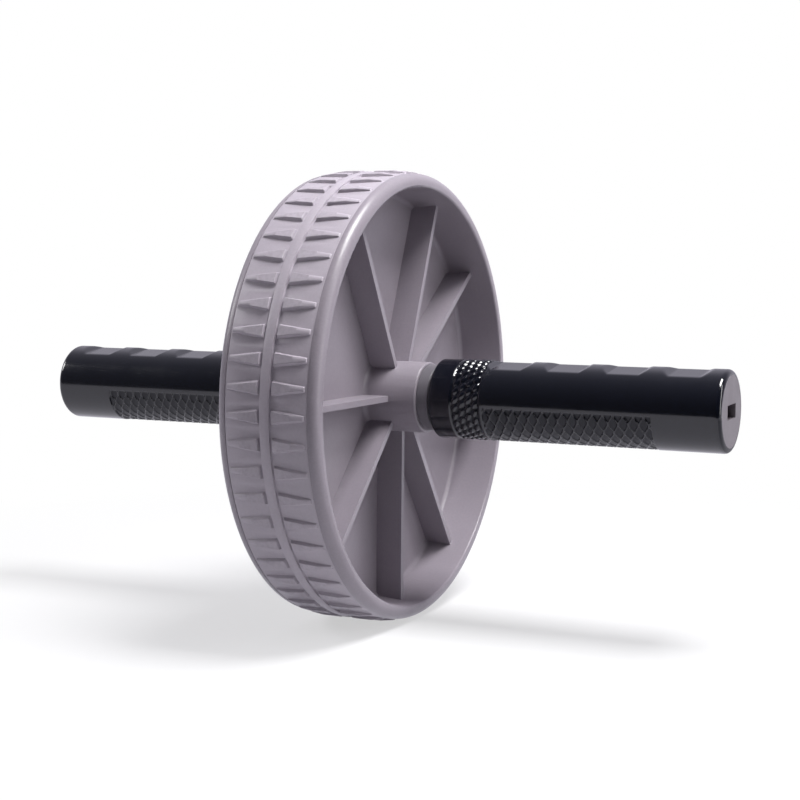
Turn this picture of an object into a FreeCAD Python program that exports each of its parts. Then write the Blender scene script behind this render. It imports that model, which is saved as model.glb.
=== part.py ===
import FreeCAD, Part
import math
import os

import Sketcher

# Ab wheel roller. The wheel's centre is the origin, the axle lies along Y and +Z is up.
# Each paired piece is drawn for the right-hand side, +Y, and the left one is the same piece turned
# half a turn about Z. Both grips are then turned a little on the axle.

# Driving dimensions in millimetres, angles in degrees
SIZES = {
    # Tread: a band with a centre rib and two rows of raised wedge cleats
    "tread_radius": 85.0,
    "band_thickness": 3.0,
    "centre_rib_width": 3.8,
    "centre_rib_height": 0.9,
    "cleat_height": 1.2,
    "cleat_flat": 9.0,
    "cleat_tip_height": 0.4,
    "cleat_count": 54,
    "cleat_root_width": 5.8,
    "cleat_tip_width": 2.4,
    "cleat_rib_gap": 0.4,
    "cleat_tip_margin": 0.6,
    "cleat_draft": 22.0,
    "cleat_embed": 0.6,
    "cleat_trim": 0.15,
    # Wheel half: hub, web, ribs, rim and shoulder
    "wheel_half_width": 20.0,
    "shoulder_radius": 3.5,
    "shoulder_land": 0.3,
    "rim_depth": 5.2,
    "rim_draft": 1.4,
    "rim_edge_radius": 0.8,
    "web_thickness": 1.5,
    "web_fillet": 2.0,
    "hub_half_length": 23.0,
    "hub_wall": 4.4,
    "hub_edge_radius": 0.7,
    "rib_thickness": 2.2,
    "rib_height": 10.5,
    "rib_1_angle": 1.0,
    "rib_2_angle": 62.0,
    "rib_3_angle": 113.0,
    "rib_4_angle": 145.0,
    "rib_5_angle": 190.0,
    "rib_6_angle": 235.0,
    "rib_7_angle": 271.0,
    "rib_8_angle": 316.0,
    # Axle and its bearings
    "axle_radius": 6.0,
    "axle_step": 1.0,
    "axle_chamfer": 0.5,
    "bush_wall": 3.0,
    "bush_length": 19.0,
    "flange_thickness": 4.6,
    "flange_inset": 1.0,
    "flange_edge_radius": 0.4,
    "washer_thickness": 1.1,
    # Handle: grip over a rigid core, closed by a plug
    "handle_length": 111.0,
    "grip_radius": 15.0,
    "grip_wall": 4.0,
    "grip_end_radius": 1.8,
    "grip_collar_radius": 0.8,
    "collar_length": 9.2,
    "band_length": 10.8,
    "band_recess": 0.4,
    "panel_start": 21.6,
    "panel_length": 64.4,
    "panel_angle": 184.0,
    "panel_recess": 0.45,
    "groove_count": 4,
    "groove_start": 28.4,
    "groove_pitch": 22.5,
    "groove_floor": 11.8,
    "groove_flank": 3.0,
    "groove_depth": 1.5,
    "grip_turn": 8.0,
    "plug_rim": 2.0,
    "plug_flange": 2.5,
    "plug_spigot": 9.0,
    "plug_wall": 1.2,
    "slot_width": 11.0,
    "slot_height": 5.2,
    # Screw that clamps the handle to the axle
    "screw_recess": 17.5,
    "screw_radius": 3.0,
    "screw_length": 22.0,
    "screw_head_radius": 5.0,
    "screw_head_height": 5.0,
    "socket_width": 5.0,
    "socket_depth": 3.0,
    "seat_washer_radius": 7.0,
    "seat_washer_thickness": 1.5,
    "spring_washer_radius": 5.2,
    "spring_washer_thickness": 1.6,
    "spring_washer_split": 1.8,
    "axle_setback": 1.0,
    # Clearances
    "running_clearance": 0.05,
    "fit_clearance": 0.05,
    "axial_play": 0.3,
    "screw_clearance": 0.2,
    "recess_clearance": 0.5,
}

SHEET = "dims"
FULL_TURN = 360.0
HALF_TURN = 180.0
HEXAGON = 6
FIND_TOLERANCE = 0.001


class Size:
    """A number together with the sheet expression that gives it, so that sums stay bound to the sheet."""

    def __init__(self, value, text):
        self.value = value
        self.text = text

    def joined(self, other, sign, value):
        return Size(value, f"({self.text} {sign} {as_size(other).text})")

    def __add__(self, other):
        return self.joined(other, "+", self.value + as_size(other).value)

    def __sub__(self, other):
        return self.joined(other, "-", self.value - as_size(other).value)

    def __mul__(self, other):
        return self.joined(other, "*", self.value * as_size(other).value)

    def __truediv__(self, other):
        return self.joined(other, "/", self.value / as_size(other).value)

    def __neg__(self):
        return Size(-self.value, f"(0 - {self.text})")


def as_size(number):
    if isinstance(number, Size):
        return number
    return Size(number, str(number))


# The document and its sheet of driving dimensions
doc = FreeCAD.newDocument("ab_wheel")
sheet = doc.addObject("Spreadsheet::Sheet", SHEET)
for row, (alias, number) in enumerate(SIZES.items(), start=1):
    sheet.set(f"A{row}", alias)
    sheet.set(f"B{row}", str(number))
    sheet.setAlias(f"B{row}", alias)
doc.recompute()

size = {alias: Size(number, f"{SHEET}.{alias}") for alias, number in SIZES.items()}
RIB_ANGLES = [size[alias] for alias in SIZES if alias.startswith("rib_") and alias.endswith("_angle")]
ZERO = as_size(0)

# Radii worked out from the driving dimensions
band_seat = size["tread_radius"] - size["band_thickness"]
centre_rib_radius = size["tread_radius"] + size["centre_rib_height"]
cleat_top = size["tread_radius"] + size["cleat_height"]
rim_face_radius = size["tread_radius"] - size["rim_depth"]
rim_web_radius = rim_face_radius - size["rim_draft"]
bush_bore = size["axle_radius"] + size["running_clearance"]
bush_radius = bush_bore + size["bush_wall"]
hub_bore = bush_radius + size["fit_clearance"]
hub_radius = hub_bore + size["hub_wall"]
flange_radius = hub_radius - size["flange_inset"]
axle_end_radius = size["axle_radius"] - size["axle_step"]
core_bore = axle_end_radius + size["fit_clearance"]
core_radius = size["grip_radius"] - size["grip_wall"]
grip_bore = core_radius + size["fit_clearance"]
recess_radius = size["seat_washer_radius"] + size["recess_clearance"]
plug_radius = size["grip_radius"] - size["plug_rim"]
tapped_radius = size["screw_radius"] + size["fit_clearance"]

# Stations along the axle, from the wheel's middle to the handle's end
band_edge = size["wheel_half_width"] - size["shoulder_radius"] - size["shoulder_land"]
flange_face = size["hub_half_length"] + size["flange_thickness"]
axle_shoulder = flange_face + size["axial_play"]
handle_start = axle_shoulder + size["washer_thickness"]
handle_end = handle_start + size["handle_length"]
plug_face = handle_end - size["plug_flange"]
screw_seat = plug_face - size["screw_recess"]
axle_end = screw_seat - size["axle_setback"]
spring_seat = screw_seat + size["seat_washer_thickness"]
head_seat = spring_seat + size["spring_washer_thickness"]
screw_tip = head_seat - size["screw_length"]


def new_body(name):
    body = doc.addObject("PartDesign::Body", name)
    body.Label = name
    return body


def origin_feature(body, role):
    return next(feature for feature in body.Origin.OriginFeatures if feature.Role == role)


def bind(feature, name, amount):
    feature.setExpression(name, as_size(amount).text)


def draw_outline(body, name, plane, corners):
    """Sketch a closed outline whose every corner is dimensioned from the origin."""
    sketch = body.newObject("Sketcher::SketchObject", name)
    sketch.AttachmentSupport = (origin_feature(body, plane), [""])
    sketch.MapMode = "FlatFace"
    add_loop(sketch, corners)
    return sketch


def add_loop(sketch, corners):
    first = sketch.GeometryCount
    points = [FreeCAD.Vector(across.value, along.value, 0) for across, along in corners]
    for index, point in enumerate(points):
        sketch.addGeometry(Part.LineSegment(point, points[(index + 1) % len(points)]), False)
    for index in range(len(points)):
        following = (index + 1) % len(points)
        sketch.addConstraint(Sketcher.Constraint("Coincident", first + index, 2, first + following, 1))
    for index, (across, along) in enumerate(corners):
        for direction, amount in (("DistanceX", across), ("DistanceY", along)):
            rule = Sketcher.Constraint(direction, -1, 1, first + index, 1, amount.value)
            number = sketch.addConstraint(rule)
            sketch.setExpression(f"Constraints[{number}]", amount.text)


def turn(body, name, corners):
    """Revolve an outline of (radius, station) corners about the axle."""
    sketch = draw_outline(body, f"{name}_outline", "XY_Plane", corners)
    feature = body.newObject("PartDesign::Revolution", f"{name}_turned")
    feature.Profile = sketch
    feature.ReferenceAxis = (sketch, ["V_Axis"])
    feature.Angle = FULL_TURN
    sketch.Visibility = False
    doc.recompute()
    return feature


def ring_outline(inner, outer, start, end):
    return [(inner, start), (outer, start), (outer, end), (inner, end)]


def round_ring(body, name, radius, rings):
    """Round the circular edges found at the given (radius, station) places."""
    base = body.Tip
    edges = []
    for number, edge in enumerate(base.Shape.Edges, start=1):
        if not isinstance(edge.Curve, Part.Circle):
            continue
        for ring_radius, station in rings:
            same_radius = abs(edge.Curve.Radius - ring_radius.value) < FIND_TOLERANCE
            same_station = abs(edge.Curve.Center.y - station.value) < FIND_TOLERANCE
            if same_radius and same_station:
                edges.append(f"Edge{number}")
    feature = body.newObject("PartDesign::Fillet", name)
    feature.Base = (base, edges)
    bind(feature, "Radius", radius)
    doc.recompute()
    return feature


def cut_slab(body, name, plane, corners, half_depth):
    """Cut a prism that reaches half_depth to both sides of an origin plane."""
    before = body.Tip.Shape.Volume
    sketch = draw_outline(body, f"{name}_outline", plane, corners)
    feature = body.newObject("PartDesign::Pocket", name)
    feature.Profile = sketch
    feature.Midplane = True
    bind(feature, "Length", half_depth * 2)
    sketch.Visibility = False
    doc.recompute()
    if feature.Shape.Volume >= before:
        raise RuntimeError(f"{name} cut nothing")
    return feature


def cut_round(body, name, sketch, axis, angle):
    """Cut a sketch out of the body, swept about the axle by half of the angle to both sides."""
    before = body.Tip.Shape.Volume
    feature = body.newObject("PartDesign::Groove", name)
    feature.Profile = sketch
    feature.ReferenceAxis = (sketch, [axis])
    feature.Midplane = True
    bind(feature, "Angle", angle)
    sketch.Visibility = False
    doc.recompute()
    if feature.Shape.Volume >= before:
        raise RuntimeError(f"{name} cut nothing")
    return feature


def repeat_round(body, name, feature, count):
    """Repeat a feature evenly round the axle."""
    pattern = body.newObject("PartDesign::PolarPattern", name)
    pattern.Originals = [feature]
    pattern.Axis = (origin_feature(body, "Y_Axis"), [""])
    pattern.Angle = FULL_TURN
    bind(pattern, "Occurrences", count)
    body.Tip = pattern
    doc.recompute()
    return pattern


def repeat_along(body, name, feature, count, pitch):
    """Repeat a feature along the axle."""
    pattern = body.newObject("PartDesign::LinearPattern", name)
    pattern.Originals = [feature]
    pattern.Direction = (origin_feature(body, "Y_Axis"), [""])
    bind(pattern, "Length", pitch * (count - 1))
    bind(pattern, "Occurrences", count)
    body.Tip = pattern
    doc.recompute()
    return pattern


def rib_outline(angle, start, stop, half_width):
    """Corners of a thin rectangle that points away from the axle at an angle from +X towards +Z."""
    turned = math.radians(angle.value)
    cosine = Size(math.cos(turned), f"cos({angle.text} * 1 deg)")
    sine = Size(math.sin(turned), f"sin({angle.text} * 1 deg)")
    corners = [(start, -half_width), (stop, -half_width), (stop, half_width), (start, half_width)]
    return [(out * cosine - aside * sine, out * sine + aside * cosine) for out, aside in corners]


# Wheel pieces
def make_wheel_half(name):
    """Half wheel: hub, web, rim with a rounded shoulder, and thin ribs standing on the web."""
    body = new_body(name)
    rim_face = size["wheel_half_width"]
    web_face = size["web_thickness"]
    hub_face = size["hub_half_length"]
    turn(body, name, [
        (hub_bore, ZERO),
        (band_seat, ZERO),
        (band_seat, band_edge),
        (size["tread_radius"], band_edge),
        (size["tread_radius"], rim_face),
        (rim_face_radius, rim_face),
        (rim_web_radius, web_face),
        (hub_radius, web_face),
        (hub_radius, hub_face),
        (hub_bore, hub_face),
    ])
    round_ring(body, f"{name}_shoulder", size["shoulder_radius"], [(size["tread_radius"], rim_face)])
    round_ring(body, f"{name}_rim_edge", size["rim_edge_radius"], [(rim_face_radius, rim_face)])
    round_ring(body, f"{name}_web_corners", size["web_fillet"],
               [(rim_web_radius, web_face), (hub_radius, web_face)])
    round_ring(body, f"{name}_hub_edge", size["hub_edge_radius"], [(hub_radius, hub_face)])

    # Each rib runs from inside the hub's wall to inside the rim's wall, in its own direction
    rib_start = hub_bore + size["hub_wall"] / 2
    rib_stop = (rim_face_radius + band_seat) / 2
    half_rib = size["rib_thickness"] / 2
    first, *others = [rib_outline(angle, rib_start, rib_stop, half_rib) for angle in RIB_ANGLES]
    sketch = draw_outline(body, f"{name}_rib_outlines", "XZ_Plane", first)
    for outline in others:
        add_loop(sketch, outline)
    ribs = body.newObject("PartDesign::Pad", f"{name}_ribs")
    ribs.Profile = sketch
    ribs.Reversed = True
    bind(ribs, "Length", size["web_thickness"] + size["rib_height"])
    sketch.Visibility = False
    doc.recompute()
    return body


def make_tread_band(name):
    """Band between the shoulders: a centre rib and a wedge cleat each side of it, all round."""
    body = new_body(name)
    inner = band_seat + size["fit_clearance"]
    edge = band_edge - size["fit_clearance"]
    half_rib = size["centre_rib_width"] / 2
    land = size["tread_radius"]
    turn(body, name, [
        (inner, -edge),
        (land, -edge),
        (land, -half_rib),
        (centre_rib_radius, -half_rib),
        (centre_rib_radius, half_rib),
        (land, half_rib),
        (land, edge),
        (inner, edge),
    ])

    # One pair of wedges, wide beside the rib and narrow at the shoulder, drawn on the plane across the axle
    root = half_rib + size["cleat_rib_gap"]
    tip = edge - size["cleat_tip_margin"]
    half_root = size["cleat_root_width"] / 2
    half_tip = size["cleat_tip_width"] / 2
    sketch = draw_outline(body, f"{name}_cleat_outline", "YZ_Plane", [
        (root, -half_root),
        (tip, -half_tip),
        (tip, half_tip),
        (root, half_root),
    ])
    add_loop(sketch, [
        (-root, half_root),
        (-tip, half_tip),
        (-tip, -half_tip),
        (-root, -half_root),
    ])
    bind(sketch, "AttachmentOffset.Base.z", land - size["cleat_embed"])
    cleats = body.newObject("PartDesign::Pad", f"{name}_cleat_pair")
    cleats.Profile = sketch
    bind(cleats, "Length", size["cleat_embed"] + size["cleat_height"])
    bind(cleats, "TaperAngle", -size["cleat_draft"])
    sketch.Visibility = False
    doc.recompute()
    repeat_round(body, f"{name}_cleats", cleats, size["cleat_count"])

    # Towards the shoulder the cleats' flat tops are turned down to a slope that ends almost at the band
    slope_start = cleat_top + size["cleat_trim"]
    slope_foot = land + size["cleat_tip_height"]
    clear_of_cleats = cleat_top + size["cleat_height"]
    slope = [
        (slope_start, size["cleat_flat"]),
        (clear_of_cleats, size["cleat_flat"]),
        (clear_of_cleats, edge),
        (slope_foot, edge),
    ]
    sketch = draw_outline(body, f"{name}_slope_outline", "XY_Plane", slope)
    add_loop(sketch, [(radius, -station) for radius, station in reversed(slope)])
    cut_round(body, f"{name}_slopes", sketch, "V_Axis", FULL_TURN)
    return body


def make_hub_bush(name):
    """Flanged plain bearing pressed into the hub."""
    body = new_body(name)
    hub_face = size["hub_half_length"]
    turn(body, name, [
        (bush_bore, hub_face - size["bush_length"]),
        (bush_radius, hub_face - size["bush_length"]),
        (bush_radius, hub_face),
        (flange_radius, hub_face),
        (flange_radius, flange_face),
        (bush_bore, flange_face),
    ])
    round_ring(body, f"{name}_flange_edges", size["flange_edge_radius"],
               [(flange_radius, hub_face), (flange_radius, flange_face)])
    return body


# Axle and handle pieces
def make_axle(name):
    """Steel rod, stepped down where the handles sit, with a hole for a screw in each end."""
    body = new_body(name)
    hole_floor = screw_tip - size["recess_clearance"]
    right_half = [
        (size["axle_radius"], axle_shoulder),
        (axle_end_radius, axle_shoulder),
        (axle_end_radius, axle_end - size["axle_chamfer"]),
        (axle_end_radius - size["axle_chamfer"], axle_end),
        (tapped_radius, axle_end),
        (tapped_radius, hole_floor),
        (ZERO, hole_floor),
    ]
    left_half = [(radius, -station) for radius, station in reversed(right_half)]
    turn(body, name, left_half + right_half)
    return body


def make_thrust_washer(name):
    """Flat washer between the axle's shoulder and the handle's core, which the bush's flange runs against."""
    body = new_body(name)
    turn(body, name, ring_outline(core_bore, core_radius, axle_shoulder, handle_start))
    return body


def make_handle_core(name):
    """Rigid tube on the axle's end, with a recess for the screw."""
    body = new_body(name)
    turn(body, name, [
        (core_bore, handle_start),
        (core_radius, handle_start),
        (core_radius, plug_face),
        (recess_radius, plug_face),
        (recess_radius, screw_seat),
        (core_bore, screw_seat),
    ])
    return body


def make_grip(name):
    """Grip sleeve: plain collar, recessed band, finger grooves on top and a recessed panel below."""
    body = new_body(name)
    plug_seat = plug_radius + size["fit_clearance"]
    band_start = handle_start + size["collar_length"]
    band_end = band_start + size["band_length"]
    band_floor = size["grip_radius"] - size["band_recess"]
    turn(body, name, [
        (grip_bore, handle_start),
        (size["grip_radius"], handle_start),
        (size["grip_radius"], band_start),
        (band_floor, band_start),
        (band_floor, band_end),
        (size["grip_radius"], band_end),
        (size["grip_radius"], handle_end),
        (plug_seat, handle_end),
        (plug_seat, plug_face),
        (grip_bore, plug_face),
    ])
    round_ring(body, f"{name}_end", size["grip_end_radius"], [(size["grip_radius"], handle_end)])
    round_ring(body, f"{name}_collar", size["grip_collar_radius"], [(size["grip_radius"], handle_start)])

    # Sloping flanks go on to twice the depth, past the grip's surface, so that each groove is open at the top
    middle = handle_start + size["groove_start"]
    half_floor = size["groove_floor"] / 2
    half_mouth = half_floor + size["groove_flank"] * 2
    floor_height = size["grip_radius"] - size["groove_depth"]
    mouth_height = floor_height + size["groove_depth"] * 2
    groove = cut_slab(body, f"{name}_groove", "YZ_Plane", [
        (middle - half_floor, floor_height),
        (middle + half_floor, floor_height),
        (middle + half_mouth, mouth_height),
        (middle - half_mouth, mouth_height),
    ], size["grip_radius"])
    repeat_along(body, f"{name}_grooves", groove, size["groove_count"], size["groove_pitch"])

    # The panel is swept to both sides of straight down
    panel_floor = size["grip_radius"] - size["panel_recess"]
    clear_of_grip = size["grip_radius"] + size["panel_recess"]
    panel_start = handle_start + size["panel_start"]
    panel_end = panel_start + size["panel_length"]
    sketch = draw_outline(body, f"{name}_panel_outline", "YZ_Plane", [
        (panel_start, -clear_of_grip),
        (panel_end, -clear_of_grip),
        (panel_end, -panel_floor),
        (panel_start, -panel_floor),
    ])
    cut_round(body, f"{name}_panel", sketch, "H_Axis", size["panel_angle"])
    return body


def make_end_plug(name):
    """Disc that closes the handle's end, with a hollow spigot and a slot to prise it out by."""
    body = new_body(name)
    spigot_radius = recess_radius - size["fit_clearance"]
    spigot_bore = spigot_radius - size["plug_wall"]
    turn(body, name, [
        (ZERO, plug_face),
        (spigot_bore, plug_face),
        (spigot_bore, plug_face - size["plug_spigot"]),
        (spigot_radius, plug_face - size["plug_spigot"]),
        (spigot_radius, plug_face),
        (plug_radius, plug_face),
        (plug_radius, handle_end),
        (ZERO, handle_end),
    ])
    half_height = size["slot_height"] / 2
    past_face = handle_end + size["plug_flange"]
    inside = plug_face - size["plug_flange"]
    cut_slab(body, f"{name}_slot", "YZ_Plane", [
        (inside, -half_height),
        (past_face, -half_height),
        (past_face, half_height),
        (inside, half_height),
    ], size["slot_width"] / 2)
    return body


def make_axle_screw(name):
    """Cap screw with a hexagon socket in its head."""
    body = new_body(name)
    head_top = head_seat + size["screw_head_height"]
    blank = turn(body, name, [
        (ZERO, screw_tip),
        (size["screw_radius"], screw_tip),
        (size["screw_radius"], head_seat),
        (size["screw_head_radius"], head_seat),
        (size["screw_head_radius"], head_top),
        (ZERO, head_top),
    ])
    corner_angles = [math.radians(index * FULL_TURN / HEXAGON) for index in range(HEXAGON)]
    corner_radius = size["socket_width"] / 2 / math.cos(math.pi / HEXAGON)
    sketch = draw_outline(body, f"{name}_socket_outline", "XZ_Plane", [
        (corner_radius * math.cos(angle), corner_radius * math.sin(angle)) for angle in corner_angles
    ])
    bind(sketch, "AttachmentOffset.Base.z", -head_top)
    socket = body.newObject("PartDesign::Pocket", f"{name}_socket")
    socket.Profile = sketch
    socket.Reversed = True
    bind(socket, "Length", size["socket_depth"])
    sketch.Visibility = False
    doc.recompute()
    if socket.Shape.Volume >= blank.Shape.Volume:
        raise RuntimeError(f"{name} has no socket")
    return body


def make_screw_washer(name):
    """Flat washer on the core's seat."""
    body = new_body(name)
    inner = size["screw_radius"] + size["screw_clearance"]
    turn(body, name, ring_outline(inner, size["seat_washer_radius"], screw_seat, spring_seat))
    return body


def make_spring_washer(name):
    """Split ring under the screw's head."""
    body = new_body(name)
    inner = size["screw_radius"] + size["screw_clearance"]
    outer = size["spring_washer_radius"]
    turn(body, name, ring_outline(inner, outer, spring_seat, head_seat))
    half_split = size["spring_washer_split"] / 2
    cut_slab(body, f"{name}_split", "YZ_Plane", [
        (spring_seat - half_split, ZERO),
        (head_seat + half_split, ZERO),
        (head_seat + half_split, outer + half_split),
        (spring_seat - half_split, outer + half_split),
    ], half_split)
    return body


# The assembly
UP = FreeCAD.Vector(0, 0, 1)
CENTRE = FreeCAD.Vector(0, 0, 0)
SIDES = {"right": 0.0, "left": HALF_TURN}


def turn_on_axle(piece, side_turn):
    """Both grips are clamped with their grooves turned the same way from straight up."""
    on_axle = f"rotation(vector(0; 1; 0); {size['grip_turn'].text})"
    to_side = f"rotation(vector(0; 0; 1); {side_turn})"
    piece.setExpression("Placement", f"placement(vector(0; 0; 0); {on_axle} * {to_side})")


PAIRED = {
    "wheel_half": make_wheel_half,
    "hub_bush": make_hub_bush,
    "thrust_washer": make_thrust_washer,
    "handle_core": make_handle_core,
    "grip": make_grip,
    "end_plug": make_end_plug,
    "axle_screw": make_axle_screw,
    "screw_washer": make_screw_washer,
    "spring_washer": make_spring_washer,
}

pieces = [make_axle("axle"), make_tread_band("tread_band")]
for piece_name, make_piece in PAIRED.items():
    for side, side_turn in SIDES.items():
        piece = make_piece(f"{piece_name}_{side}")
        piece.Placement = FreeCAD.Placement(CENTRE, FreeCAD.Rotation(UP, side_turn))
        if make_piece is make_grip:
            turn_on_axle(piece, side_turn)
        pieces.append(piece)
doc.recompute()

# Nothing is written unless every feature and every solid is sound
for item in doc.Objects:
    if "Invalid" in item.State or "Error" in item.State:
        raise RuntimeError(f"{item.Name} failed: {item.State}")
for piece in pieces:
    if piece.Shape.isNull() or not piece.Shape.isValid() or len(piece.Shape.Solids) != 1:
        raise RuntimeError(f"{piece.Label} is not one sound solid")

os.makedirs("parts", exist_ok=True)
for piece in pieces:
    piece.Shape.exportStep(f"parts/{piece.Label}.step")
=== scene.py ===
import math

import bpy
import numpy as np
from mathutils import Matrix, Vector


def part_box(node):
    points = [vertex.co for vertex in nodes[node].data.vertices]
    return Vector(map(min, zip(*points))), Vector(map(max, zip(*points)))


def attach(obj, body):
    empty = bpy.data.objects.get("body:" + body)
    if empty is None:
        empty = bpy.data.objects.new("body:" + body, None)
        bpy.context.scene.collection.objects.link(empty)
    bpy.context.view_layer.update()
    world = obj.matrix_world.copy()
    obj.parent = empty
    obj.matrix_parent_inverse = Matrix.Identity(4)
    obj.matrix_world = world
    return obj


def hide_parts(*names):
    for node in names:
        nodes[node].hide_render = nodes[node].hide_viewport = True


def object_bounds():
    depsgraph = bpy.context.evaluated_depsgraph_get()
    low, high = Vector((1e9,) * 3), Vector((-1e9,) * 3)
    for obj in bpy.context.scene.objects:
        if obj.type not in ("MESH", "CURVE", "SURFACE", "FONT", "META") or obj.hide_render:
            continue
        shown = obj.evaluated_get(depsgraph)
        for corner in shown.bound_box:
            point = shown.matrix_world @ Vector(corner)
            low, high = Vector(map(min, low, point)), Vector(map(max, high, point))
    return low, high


# Ab wheel roller: grey ribbed wheel on a steel axle, with a black grooved handle at each end.
# Metres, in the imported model's frame: the axle lies along Y, +Z is up and the wheel's centre is the origin.

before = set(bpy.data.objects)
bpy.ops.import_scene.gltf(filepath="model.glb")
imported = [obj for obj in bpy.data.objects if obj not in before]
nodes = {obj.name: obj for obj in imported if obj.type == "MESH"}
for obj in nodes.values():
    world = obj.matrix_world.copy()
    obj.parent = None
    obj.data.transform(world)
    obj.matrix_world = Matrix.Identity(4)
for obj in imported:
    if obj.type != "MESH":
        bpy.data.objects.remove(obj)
cad_low, cad_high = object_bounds()
MM = 0.001
QUARTER_TURN = math.pi / 2

# Colours, as linear values
# The wheel halves and the tread band are one and the same grey. The halves' grey is set darker as painted
# shade, deepening the shade inside the wheel
WHEEL_GREY_WITH_PAINTED_SHADE = (0.278, 0.248, 0.285, 1.0)
PLUG_GREY = (0.160, 0.140, 0.156, 1.0)
# The tread's grey is set lighter than the halves' as painted light on the tread
TREAD_GREY_WITH_PAINTED_LIGHT = (0.410, 0.370, 0.421, 1.0)
BUSH_GREY = (0.145, 0.136, 0.154, 1.0)
GRIP_BLACK = (0.0030, 0.0040, 0.0085, 1.0)
CORE_BLACK = (0.022, 0.022, 0.024, 1.0)
STEEL = (0.560, 0.560, 0.575, 1.0)
FLOOR_WHITE = (0.80, 0.80, 0.81, 1.0)
FLOOR_BOUNCE = (0.50, 0.50, 0.51, 1.0)
FLOOR_SHINE = (0.92, 0.90, 1.00, 1.0)
WHITE = (1.0, 1.0, 1.0, 1.0)

# Noise: its detail, and the part of its range that is in use
SOFT_DETAIL = 2.0
PLAIN_DETAIL = 3.0
FINE_DETAIL = 4.0
FINEST_DETAIL = 5.0
NOISE_ROUGHNESS = 0.55
MIDDLE = (0.3, 0.7)
NONE_TO_FULL = (0.0, 1.0)
FULL_TO_NONE = (1.0, 0.0)
NO_STRETCH = (1.0, 1.0, 1.0)

# Moulded plastic: clouds and specks in its colour, rubbing marks, grain, and scuffs where it is worn
CLOUD_SIZE = 38 * MM
CLOUD_TINT = (0.955, 1.045)
SPECK_SIZE = 0.9 * MM
SPECK_TINT = (0.97, 1.03)
RUB_SIZE = 2.2 * MM
RUB_STRETCH = (1.0, 7.0, 1.0)
RUB_NOISE = (0.60, 0.74)
RUB_TINT = 0.05
RUB_ROUGHNESS = 0.03
GLOSS_SIZE = 9 * MM
GLOSS_SWING = 0.05
SCUFF_SIZE = 1.6 * MM
SCUFF_NOISE = (0.42, 0.62)
SCUFF_TINT = -0.09
SCUFF_ROUGHNESS = 0.15
GRAIN_SIZE = 0.32 * MM
GRAIN_DEPTH = 0.03 * MM
WORN_DEPTH = 0.35 * MM

# Grip plastic: finger haze, hair scratches, dust, and dull floors in the cells of the textured panel
HAZE_SIZE = 14 * MM
HAZE_NOISE = (0.35, 0.7)
HAZE_ROUGHNESS = (0.09, 0.17)
HAIR_SIZE = 0.5 * MM
HAIR_STRETCH = (1.0, 16.0, 1.0)
HAIR_NOISE = (0.62, 0.75)
HAIR_ROUGHNESS = (0.0, 0.12)
DUST_SIZE = 0.7 * MM
DUST_NOISE = (0.63, 0.78)
DUST_TINT = (1.0, 2.6)
RIPPLE_SIZE = 1.1 * MM
RIPPLE_DEPTH = 0.006 * MM
DULL_HEIGHTS = (0.0, 1 * MM)
DULL_RADII = (14.62 * MM, 14.86 * MM)
DULL_ROUGHNESS = 0.25
SHINE_TO_DULL = (0.68, 0.40)

# Turned surfaces: rings about the axle, and clouds in the colour
TURNED_RING_SIZE = 0.28 * MM
TURNED_RING_ROUGHNESS = 0.06
TURNED_CLOUD_SIZE = 6 * MM
TURNED_CLOUD_TINT = (0.92, 1.08)

# Sockets of a mix node that mixes colours, which share their names with others
MIX_SHARE = 0
MIX_FIRST = 6
MIX_SECOND = 7
MIX_RESULT = 2


# Materials
def add(tree, kind, inputs=None, **settings):
    """Add a node, set its options, and set or link its inputs."""
    node = tree.nodes.new(kind)
    for option, value in settings.items():
        setattr(node, option, value)
    for socket, value in (inputs or {}).items():
        if isinstance(value, bpy.types.NodeSocket):
            tree.links.new(value, node.inputs[socket])
        else:
            node.inputs[socket].default_value = value
    return node


def blank_material(name):
    material = bpy.data.materials.new(name)
    material.use_nodes = True
    material.node_tree.nodes.clear()
    return material, material.node_tree


def place_on_object(tree):
    """Position on the piece itself, so that the finish turns with it."""
    return add(tree, "ShaderNodeTexCoord").outputs["Object"]


def noise(tree, place, size, detail=PLAIN_DETAIL, stretch=NO_STRETCH):
    """Noise whose blotches are about the given size across, drawn out by stretch."""
    scale = [1.0 / (size * factor) for factor in stretch]
    mapping = add(tree, "ShaderNodeMapping", {"Vector": place, "Scale": scale})
    texture = add(tree, "ShaderNodeTexNoise", {"Vector": mapping.outputs["Vector"], "Scale": 1.0,
                                               "Detail": detail, "Roughness": NOISE_ROUGHNESS})
    return texture.outputs["Fac"]


def spread(tree, value, from_range, to_range):
    """Map one range to another, held at both ends."""
    inputs = {"Value": value, "From Min": from_range[0], "From Max": from_range[1],
              "To Min": to_range[0], "To Max": to_range[1]}
    return add(tree, "ShaderNodeMapRange", inputs, clamp=True).outputs["Result"]


def range_about(middle, reach):
    return middle - reach, middle + reach


def math_node(tree, operation, first, second):
    return add(tree, "ShaderNodeMath", {0: first, 1: second}, operation=operation).outputs["Value"]


def vector_measure(tree, operation, *vectors):
    """A number that a vector node works out, such as a length or a dot product."""
    return add(tree, "ShaderNodeVectorMath", dict(enumerate(vectors)), operation=operation).outputs["Value"]


def plus(tree, base, marks, amount):
    """The base with an amount of the marks added."""
    return math_node(tree, "ADD", base, math_node(tree, "MULTIPLY", marks, amount))


def tint(tree, colour, amount):
    """The colour times an amount."""
    inputs = {MIX_SHARE: 1.0, MIX_FIRST: colour, MIX_SECOND: amount}
    return add(tree, "ShaderNodeMix", inputs, data_type="RGBA", blend_type="MULTIPLY").outputs[MIX_RESULT]


def mix_shaders(tree, share, first, second):
    """The first shader at a share of 0, the second at 1."""
    return add(tree, "ShaderNodeMixShader", {0: share, 1: first, 2: second}).outputs["Shader"]


def separate(tree, place):
    return add(tree, "ShaderNodeSeparateXYZ", {"Vector": place}).outputs


def combine(tree, x, y, z):
    return add(tree, "ShaderNodeCombineXYZ", {"X": x, "Y": y, "Z": z}).outputs["Vector"]


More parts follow.
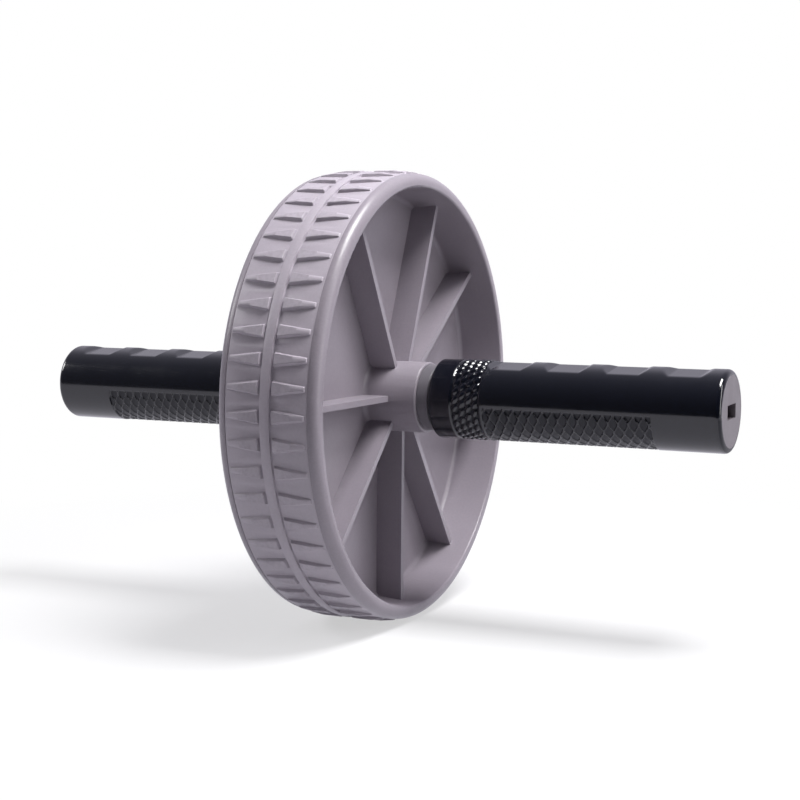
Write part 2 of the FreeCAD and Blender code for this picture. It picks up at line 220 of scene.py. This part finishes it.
def axle_distance(tree, place):
    """Distance from the axle's axis."""
    axes = separate(tree, place)
    return vector_measure(tree, "LENGTH", combine(tree, axes["X"], 0.0, axes["Z"]))


def finish(tree, bump_height, bump_depth, **sockets):
    """Close a material with one principled shader over a bump."""
    bump = add(tree, "ShaderNodeBump", {"Height": bump_height, "Strength": 1.0, "Distance": bump_depth})
    inputs = {name.replace("_", " "): value for name, value in sockets.items()}
    inputs["Normal"] = bump.outputs["Normal"]
    shader = add(tree, "ShaderNodeBsdfPrincipled", inputs)
    add(tree, "ShaderNodeOutputMaterial", {"Surface": shader.outputs["BSDF"]})


def moulded_plastic(name, colour, roughness, worn_radii=None):
    """Satin moulded plastic, with scuffs that set in between the worn radii, if any."""
    material, tree = blank_material(name)
    place = place_on_object(tree)
    cloud = spread(tree, noise(tree, place, CLOUD_SIZE), MIDDLE, CLOUD_TINT)
    speck = spread(tree, noise(tree, place, SPECK_SIZE, SOFT_DETAIL), MIDDLE, SPECK_TINT)
    rub = spread(tree, noise(tree, place, RUB_SIZE, FINE_DETAIL, RUB_STRETCH), RUB_NOISE, NONE_TO_FULL)
    lift = plus(tree, math_node(tree, "MULTIPLY", cloud, speck), rub, RUB_TINT)
    gloss = spread(tree, noise(tree, place, GLOSS_SIZE), MIDDLE, range_about(roughness, GLOSS_SWING))
    gloss = plus(tree, gloss, rub, RUB_ROUGHNESS)
    if worn_radii is not None:
        worn = spread(tree, axle_distance(tree, place), worn_radii, NONE_TO_FULL)
        scuff = spread(tree, noise(tree, place, SCUFF_SIZE, FINEST_DETAIL), SCUFF_NOISE, NONE_TO_FULL)
        worn = math_node(tree, "MULTIPLY", worn, scuff)
        lift = plus(tree, lift, worn, SCUFF_TINT)
        gloss = plus(tree, gloss, worn, SCUFF_ROUGHNESS)
    grain = noise(tree, place, GRAIN_SIZE)
    finish(tree, grain, GRAIN_DEPTH, Base_Color=tint(tree, colour, lift), Roughness=gloss)
    return material


def glossy_black(name):
    """Glossy black moulded grip, dull on the floors of the cells on its lower half."""
    material, tree = blank_material(name)
    place = place_on_object(tree)
    below = spread(tree, separate(tree, place)["Z"], DULL_HEIGHTS, FULL_TO_NONE)
    sunk = spread(tree, axle_distance(tree, place), DULL_RADII, FULL_TO_NONE)
    dull = math_node(tree, "MULTIPLY", below, sunk)
    shine = spread(tree, dull, NONE_TO_FULL, SHINE_TO_DULL)
    haze = spread(tree, noise(tree, place, HAZE_SIZE), HAZE_NOISE, HAZE_ROUGHNESS)
    haze = plus(tree, haze, dull, DULL_ROUGHNESS)
    hair = spread(tree, noise(tree, place, HAIR_SIZE, PLAIN_DETAIL, HAIR_STRETCH), HAIR_NOISE, HAIR_ROUGHNESS)
    dust = spread(tree, noise(tree, place, DUST_SIZE, FINE_DETAIL), DUST_NOISE, DUST_TINT)
    ripple = noise(tree, place, RIPPLE_SIZE, SOFT_DETAIL)
    finish(tree, ripple, RIPPLE_DEPTH, Base_Color=tint(tree, GRIP_BLACK, dust),
           Roughness=math_node(tree, "ADD", haze, hair), Specular_IOR_Level=shine)
    return material


def turned(name, colour, metallic, roughness, line_depth):
    """A turned surface: fine rings about the axle in its bump and gloss."""
    material, tree = blank_material(name)
    place = place_on_object(tree)
    ring_place = combine(tree, axle_distance(tree, place), separate(tree, place)["Y"], 0.0)
    rings = noise(tree, ring_place, TURNED_RING_SIZE, SOFT_DETAIL)
    cloud = spread(tree, noise(tree, place, TURNED_CLOUD_SIZE), MIDDLE, TURNED_CLOUD_TINT)
    gloss = spread(tree, rings, MIDDLE, range_about(roughness, TURNED_RING_ROUGHNESS))
    finish(tree, rings, line_depth, Base_Color=tint(tree, colour, cloud), Roughness=gloss, Metallic=metallic)
    return material


_, tread_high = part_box("tread_band")
tread_worn = (tread_high.z - WORN_DEPTH, tread_high.z)
# The two greys differ only by painted shade on the halves and painted light on the tread
wheel_plastic = moulded_plastic("wheel_plastic", WHEEL_GREY_WITH_PAINTED_SHADE, roughness=0.34)
tread_plastic = moulded_plastic("tread_plastic", TREAD_GREY_WITH_PAINTED_LIGHT, roughness=0.42, worn_radii=tread_worn)
plug_plastic = moulded_plastic("plug_plastic", PLUG_GREY, roughness=0.40)
bush_plastic = turned("bush_plastic", BUSH_GREY, metallic=0.0, roughness=0.38, line_depth=0.008 * MM)
core_plastic = turned("core_plastic", CORE_BLACK, metallic=0.0, roughness=0.45, line_depth=0.006 * MM)
bright_steel = turned("bright_steel", STEEL, metallic=1.0, roughness=0.28, line_depth=0.004 * MM)
grip_plastic = glossy_black("grip_plastic")

FINISHES = {
    "wheel_half": wheel_plastic,
    "tread_band": tread_plastic,
    "hub_bush": bush_plastic,
    "end_plug": plug_plastic,
    "handle_core": core_plastic,
    "grip": grip_plastic,
    "axle": bright_steel,
    "thrust_washer": bright_steel,
    "axle_screw": bright_steel,
    "screw_washer": bright_steel,
    "spring_washer": bright_steel,
}


def finish_of(node_name):
    """A node's finish, by its name without the side."""
    if node_name in FINISHES:
        return FINISHES[node_name]
    return FINISHES[node_name.rsplit("_", 1)[0]]


for node_name, item in nodes.items():
    item.data.materials.clear()
    item.data.materials.append(finish_of(node_name))

# Moulded edges are softened, as the tool that made them leaves them
EDGE_ROUND = 0.35 * MM
EDGE_SEGMENTS = 2
EDGE_ANGLE = math.radians(35.0)
JOIN_DISTANCE = 0.002 * MM
for node_name in ("wheel_half_right", "wheel_half_left", "tread_band"):
    item = nodes[node_name]
    join = item.modifiers.new("join", "WELD")
    join.merge_threshold = JOIN_DISTANCE
    soften = item.modifiers.new("soften", "BEVEL")
    soften.width = EDGE_ROUND
    soften.segments = EDGE_SEGMENTS
    soften.limit_method = "ANGLE"
    soften.angle_limit = EDGE_ANGLE

# Grips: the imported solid's outline, with the knurled band and the textured panel cut into its wall
grip_low, grip_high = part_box("grip_right")
GRIP_START = grip_low.y
GRIP_END = grip_high.y
GRIP_RADIUS = grip_high.x
COLLAR_ROUND = 0.8 * MM
END_ROUND = 1.8 * MM
GRIP_BORE = 11.05 * MM
PLUG_SEAT = 13.05 * MM
PLUG_FLANGE = 2.5 * MM
GRIP_TURN = math.radians(8.0)

GROOVE_COUNT = 4
GROOVE_FIRST = GRIP_START + 28.4 * MM
GROOVE_PITCH = 22.5 * MM
GROOVE_FLOOR = 11.8 * MM
GROOVE_FLANK = 3.0 * MM
GROOVE_DEPTH = 1.5 * MM
GROOVE_SOFTNESS = 0.35 * MM
LEAST_UPWARD = 0.05

BAND_START = GRIP_START + 9.2 * MM
BAND_END = GRIP_START + 20.0 * MM
BAND_COLUMNS = 4
BAND_BUMPS = 28
BUMP_HALF_LENGTH = 1.40 * MM
BUMP_HALF_WIDTH = 1.45 * MM
BUMP_SLANT = 0.55
BUMP_HEIGHT = 0.62 * MM
BAND_RECESS = 0.52 * MM
RING_LINE_DEPTH = 0.25 * MM
RING_LINE_WIDTH = 0.25 * MM
RING_LINE_REACH = 3 * RING_LINE_WIDTH

PANEL_START = GRIP_START + 21.6 * MM
PANEL_END = GRIP_START + 86.0 * MM
PANEL_HALF_ANGLE = math.radians(92.0)
CELL_PITCH = 3.8 * MM
CELL_HEIGHT = 7.2 * MM
CELL_WALL_SWAY = 0.42
CELL_WALL_HALF = 0.55 * MM
CELL_DEPTH = 0.50 * MM
CELL_WALL_HEIGHT = 0.42 * MM
PANEL_EDGE_SOFTNESS = 0.3 * MM
NEAR_WALLS = (-1, 0, 1, 2)

FINE_START = BAND_START - RING_LINE_REACH
FINE_END = PANEL_END + 2 * PANEL_EDGE_SOFTNESS
FINE_STEP = 0.30 * MM
PLAIN_STEP = 0.60 * MM
AROUND_COUNT = 284
ROUND_STEPS = 8
SHARP_ANGLE = math.radians(50.0)


def smooth_min(first, second, softness):
    """The smaller of two fields, with the crease between them rounded."""
    share = np.clip(0.5 + 0.5 * (second - first) / softness, 0.0, 1.0)
    return second + (first - second) * share - softness * share * (1.0 - share)


def ramp(value, width):
    """0 below zero, 1 above width, smooth between."""
    share = np.clip(value / width, 0.0, 1.0)
    return share * share * (3.0 - 2.0 * share)


def between(station, start, end, softness):
    """1 from start to end, 0 outside, smooth at both."""
    return ramp(station - start, softness) * ramp(end - station, softness)


def grooved_radius(station, angle):
    """Grip radius with the flat-floored finger grooves along its top."""
    number = np.clip(np.round((station - GROOVE_FIRST) / GROOVE_PITCH), 0, GROOVE_COUNT - 1)
    away = np.abs(station - GROOVE_FIRST - number * GROOVE_PITCH)
    rise = np.maximum(away - GROOVE_FLOOR / 2, 0.0) / GROOVE_FLANK * GROOVE_DEPTH
    height = GRIP_RADIUS - GROOVE_DEPTH + rise
    upward = np.maximum(np.sin(angle), LEAST_UPWARD)
    return smooth_min(np.full_like(height * upward, GRIP_RADIUS), height / upward, GROOVE_SOFTNESS)


def band_relief(station, angle):
    """Slanted oval bumps in staggered columns, in a shallow band with a ring line at each end."""
    pitch_along = (BAND_END - BAND_START) / BAND_COLUMNS
    pitch_round = math.tau / BAND_BUMPS
    column = np.clip(np.floor((station - BAND_START) / pitch_along), 0, BAND_COLUMNS - 1)
    along = station - BAND_START - (column + 0.5) * pitch_along
    turn = angle / pitch_round + 0.5 * (column % 2)
    across = (turn - np.round(turn)) * pitch_round * GRIP_RADIUS - BUMP_SLANT * along
    fullness = 1.0 - (along / BUMP_HALF_LENGTH) ** 2 - (across / BUMP_HALF_WIDTH) ** 2
    bumps = BUMP_HEIGHT * np.sqrt(np.maximum(fullness, 0.0))
    inside = between(station, BAND_START, BAND_END, RING_LINE_WIDTH)
    lines = sum(np.exp(-((station - edge) / RING_LINE_WIDTH) ** 2) for edge in (BAND_START, BAND_END))
    return inside * (bumps - BAND_RECESS) - RING_LINE_DEPTH * lines


def panel_relief(station, angle):
    """Walls that sway to and from each other round the lower half, with lens-shaped cells between them."""
    from_middle = (angle + QUARTER_TURN + math.pi) % math.tau - math.pi
    down = PANEL_HALF_ANGLE - from_middle
    inside = between(station, PANEL_START, PANEL_END, PANEL_EDGE_SOFTNESS)
    inside = inside * ramp((PANEL_HALF_ANGLE - np.abs(from_middle)) * GRIP_RADIUS, PANEL_EDGE_SOFTNESS)
    wall_pitch = CELL_PITCH / 2
    sway = CELL_WALL_SWAY * wall_pitch * np.cos(math.tau * down * GRIP_RADIUS / CELL_HEIGHT)
    place = (station - PANEL_START) / wall_pitch
    nearest = np.full_like(place + sway, CELL_PITCH)
    for step in NEAR_WALLS:
        wall = np.floor(place) + step
        swing = np.where(wall % 2 == 0, sway, -sway)
        nearest = np.minimum(nearest, np.abs((place - wall) * wall_pitch - swing))
    walls = CELL_WALL_HEIGHT * np.cos(np.clip(nearest / CELL_WALL_HALF, 0.0, 1.0) * QUARTER_TURN) ** 2
    return inside * (walls - CELL_DEPTH)


def even_stations(start, end, step):
    """Stations from start to just before end, about a step apart."""
    return np.linspace(start, end, round((end - start) / step), endpoint=False)


def grip_outline():
    """Closed outline of (station, radius) rows; the outer wall's rows come first."""
    wall_start = GRIP_START + COLLAR_ROUND
    wall_end = GRIP_END - END_ROUND
    stations = np.concatenate([even_stations(wall_start, FINE_START, PLAIN_STEP),
                               even_stations(FINE_START, FINE_END, FINE_STEP),
                               even_stations(FINE_END, wall_end, PLAIN_STEP),
                               [wall_end]])
    outline = [(station, GRIP_RADIUS) for station in stations]
    for step in range(1, ROUND_STEPS + 1):
        turn = QUARTER_TURN * step / ROUND_STEPS
        inward = END_ROUND * (1 - math.cos(turn))
        outline.append((wall_end + END_ROUND * math.sin(turn), GRIP_RADIUS - inward))
    outline.append((GRIP_END, PLUG_SEAT))
    outline.append((GRIP_END - PLUG_FLANGE, PLUG_SEAT))
    outline.append((GRIP_END - PLUG_FLANGE, GRIP_BORE))
    outline.append((GRIP_START, GRIP_BORE))
    for step in range(ROUND_STEPS):
        turn = QUARTER_TURN * step / ROUND_STEPS
        inward = COLLAR_ROUND * (1 - math.sin(turn))
        outline.append((wall_start - COLLAR_ROUND * math.cos(turn), GRIP_RADIUS - inward))
    return np.array(outline), len(stations)


def grip_mesh(name):
    """One closed skin: the outline carried round the axle, with the relief on its outer wall."""
    outline, wall_rows = grip_outline()
    row_count = len(outline)
    angle = np.linspace(-math.pi, math.pi, AROUND_COUNT, endpoint=False)[None, :]
    station = np.repeat(outline[:, :1], AROUND_COUNT, axis=1)
    radius = np.repeat(outline[:, 1:], AROUND_COUNT, axis=1)
    wall = outline[:wall_rows, :1]
    near_band = (wall > BAND_START - RING_LINE_REACH) & (wall < BAND_END + RING_LINE_REACH)
    relief = panel_relief(wall, angle) + np.where(near_band, band_relief(wall, angle), 0.0)
    radius[:wall_rows] = grooved_radius(wall, angle) + relief
    points = np.stack([radius * np.cos(angle), station, radius * np.sin(angle)], axis=-1)
    row = np.arange(row_count)[:, None] * AROUND_COUNT
    next_row = np.roll(row, -1, axis=0)
    column = np.arange(AROUND_COUNT)[None, :]
    next_column = np.roll(column, -1, axis=1)
    corners = (row + column, row + next_column, next_row + next_column, next_row + column)
    faces = np.stack(corners, axis=-1)
    mesh = bpy.data.meshes.new(name)
    mesh.from_pydata(points.reshape(-1, 3).tolist(), [], faces.reshape(-1, len(corners)).tolist())
    mesh.polygons.foreach_set("use_smooth", np.ones(len(mesh.polygons), dtype=bool))
    mesh.set_sharp_from_angle(angle=SHARP_ANGLE)
    mesh.materials.append(grip_plastic)
    mesh.update()
    return mesh


shared_grip = grip_mesh("grip_skin")
for side, side_turn in (("right", 0.0), ("left", math.pi)):
    skin = bpy.data.objects.new(f"grip_skin_{side}", shared_grip)
    skin.matrix_world = Matrix.Rotation(GRIP_TURN, 4, "Y") @ Matrix.Rotation(side_turn, 4, "Z")
    bpy.context.collection.objects.link(skin)
    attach(skin, "handles")
    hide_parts(f"grip_{side}")

# Camera, at the photograph's viewing angle
CAMERA_AZIMUTH = math.radians(115.67)
CAMERA_ELEVATION = math.radians(5.79)
CAMERA_DISTANCE = 0.65249
CAMERA_RIGHTWARD = 0.00945
CAMERA_DOWNWARD = 0.00197
LENS = 75.70
SENSOR = 36.0

camera_back = Vector((math.sin(CAMERA_AZIMUTH) * math.cos(CAMERA_ELEVATION),
                      -math.cos(CAMERA_AZIMUTH) * math.cos(CAMERA_ELEVATION),
                      math.sin(CAMERA_ELEVATION)))
camera_right = Vector((math.cos(CAMERA_AZIMUTH), math.sin(CAMERA_AZIMUTH), 0.0))
camera_up = camera_back.cross(camera_right)
camera_data = bpy.data.cameras.new("camera")
camera_data.lens = LENS
camera_data.sensor_width = SENSOR
camera_data.sensor_fit = "HORIZONTAL"
camera = bpy.data.objects.new("camera", camera_data)
camera_turn = Matrix((camera_right, camera_up, camera_back)).transposed().to_4x4()
camera_place = camera_back * CAMERA_DISTANCE + camera_right * CAMERA_RIGHTWARD - camera_up * CAMERA_DOWNWARD
camera.matrix_world = Matrix.Translation(camera_place) @ camera_turn
bpy.context.collection.objects.link(camera)
bpy.context.scene.camera = camera

# Floor: a white table that ends a little in front of the wheel and runs far back
front = Vector((camera_back.x, camera_back.y, 0.0)).normalized()
sideways = Vector((-front.y, front.x, 0.0))
FLOOR_FRONT = 0.42
FLOOR_REACH = 4.0
SHADOW_REACH = (0.10, 0.34)
SHADOW_SHARE = 0.45
FLOOR_DUST_SIZE = 4 * MM
FLOOR_DUST_TINT = (0.985, 1.0)


def floor_material():
    """White matt floor with the shadow by the wheel, plain white further off, pale where it is mirrored."""
    material, tree = blank_material("floor_white")
    place = place_on_object(tree)
    fade = spread(tree, vector_measure(tree, "LENGTH", place), SHADOW_REACH, (1.0 - SHADOW_SHARE, 1.0))
    dust = spread(tree, noise(tree, place, FLOOR_DUST_SIZE), MIDDLE, FLOOR_DUST_TINT)
    matt = add(tree, "ShaderNodeBsdfDiffuse", {"Color": tint(tree, FLOOR_WHITE, dust)})
    plain = add(tree, "ShaderNodeEmission", {"Color": WHITE, "Strength": 1.0})
    bounce = add(tree, "ShaderNodeBsdfDiffuse", {"Color": FLOOR_BOUNCE})
    shine = add(tree, "ShaderNodeEmission", {"Color": FLOOR_SHINE, "Strength": 1.0})
    path = add(tree, "ShaderNodeLightPath").outputs
    seen = mix_shaders(tree, fade, matt.outputs["BSDF"], plain.outputs["Emission"])
    unseen = mix_shaders(tree, path["Is Glossy Ray"], bounce.outputs["BSDF"], shine.outputs["Emission"])
    surface = mix_shaders(tree, path["Is Camera Ray"], unseen, seen)
    add(tree, "ShaderNodeOutputMaterial", {"Surface": surface})
    return material


floor_corners = [front * FLOOR_FRONT - sideways * FLOOR_REACH,
                 front * FLOOR_FRONT + sideways * FLOOR_REACH,
                 -front * FLOOR_REACH + sideways * FLOOR_REACH,
                 -front * FLOOR_REACH - sideways * FLOOR_REACH]
floor_mesh = bpy.data.meshes.new("floor")
floor_mesh.from_pydata([corner.to_tuple() for corner in floor_corners], [], [range(len(floor_corners))])
floor_mesh.materials.append(floor_material())
floor = bpy.data.objects.new("floor", floor_mesh)
floor.location.z = cad_low.z
bpy.context.collection.objects.link(floor)

# Studio: light behind, dark in front, and three soft lamps: overhead, at the right-hand side and on the left
SKY_TINT = (0.97, 0.935, 1.08)
SKY_STOPS = (
    {"place": 0.00, "level": 0.58},
    {"place": 0.13, "level": 0.76},
    {"place": 0.28, "level": 0.45},
    {"place": 0.50, "level": 0.24},
    {"place": 0.72, "level": 0.12},
    {"place": 0.92, "level": 0.04},
    {"place": 1.00, "level": 0.03},
)
LAMPS = {
    "overhead": {"place": Vector((0.00, 0.24, 0.60)), "width": 0.26, "height": 0.26, "power": 6.0},
    "side": {"place": Vector((-0.03, 0.95, 0.38)), "width": 0.18, "height": 1.00, "power": 3.6},
    "left": {"place": Vector((0.40, -1.05, 0.65)), "width": 0.35, "height": 0.35, "power": 5.0},
}


def studio_world():
    """A sky graded from straight behind, at 0, to straight in front, at 1; the camera sees plain white."""
    world = bpy.data.worlds.new("studio")
    world.use_nodes = True
    tree = world.node_tree
    tree.nodes.clear()
    direction = add(tree, "ShaderNodeTexCoord").outputs["Generated"]
    ahead = spread(tree, vector_measure(tree, "DOT_PRODUCT", direction, front), (-1.0, 1.0), NONE_TO_FULL)
    sky = add(tree, "ShaderNodeValToRGB", {"Fac": ahead})
    stops = sky.color_ramp.elements
    while len(stops) < len(SKY_STOPS):
        stops.new(0.5)
    for stop, wanted in zip(stops, SKY_STOPS):
        stop.position = wanted["place"]
        stop.color = [wanted["level"] * share for share in SKY_TINT] + [1.0]
    around = add(tree, "ShaderNodeBackground", {"Color": sky.outputs["Color"], "Strength": 1.0})
    plain = add(tree, "ShaderNodeBackground", {"Color": WHITE, "Strength": 1.0})
    seen = add(tree, "ShaderNodeLightPath").outputs["Is Camera Ray"]
    surface = mix_shaders(tree, seen, around.outputs["Background"], plain.outputs["Background"])
    add(tree, "ShaderNodeOutputWorld", {"Surface": surface})
    return world


bpy.context.scene.world = studio_world()
for lamp_name, lamp in LAMPS.items():
    lamp_data = bpy.data.lights.new(lamp_name, "AREA")
    lamp_data.shape = "RECTANGLE"
    lamp_data.size = lamp["width"]
    lamp_data.size_y = lamp["height"]
    lamp_data.energy = lamp["power"]
    lamp_item = bpy.data.objects.new(lamp_name, lamp_data)
    lamp_item.location = lamp["place"]
    lamp_item.rotation_euler = lamp["place"].to_track_quat("Z", "Y").to_euler()
    bpy.context.collection.objects.link(lamp_item)
bpy.context.scene.view_settings.view_transform = "Standard"
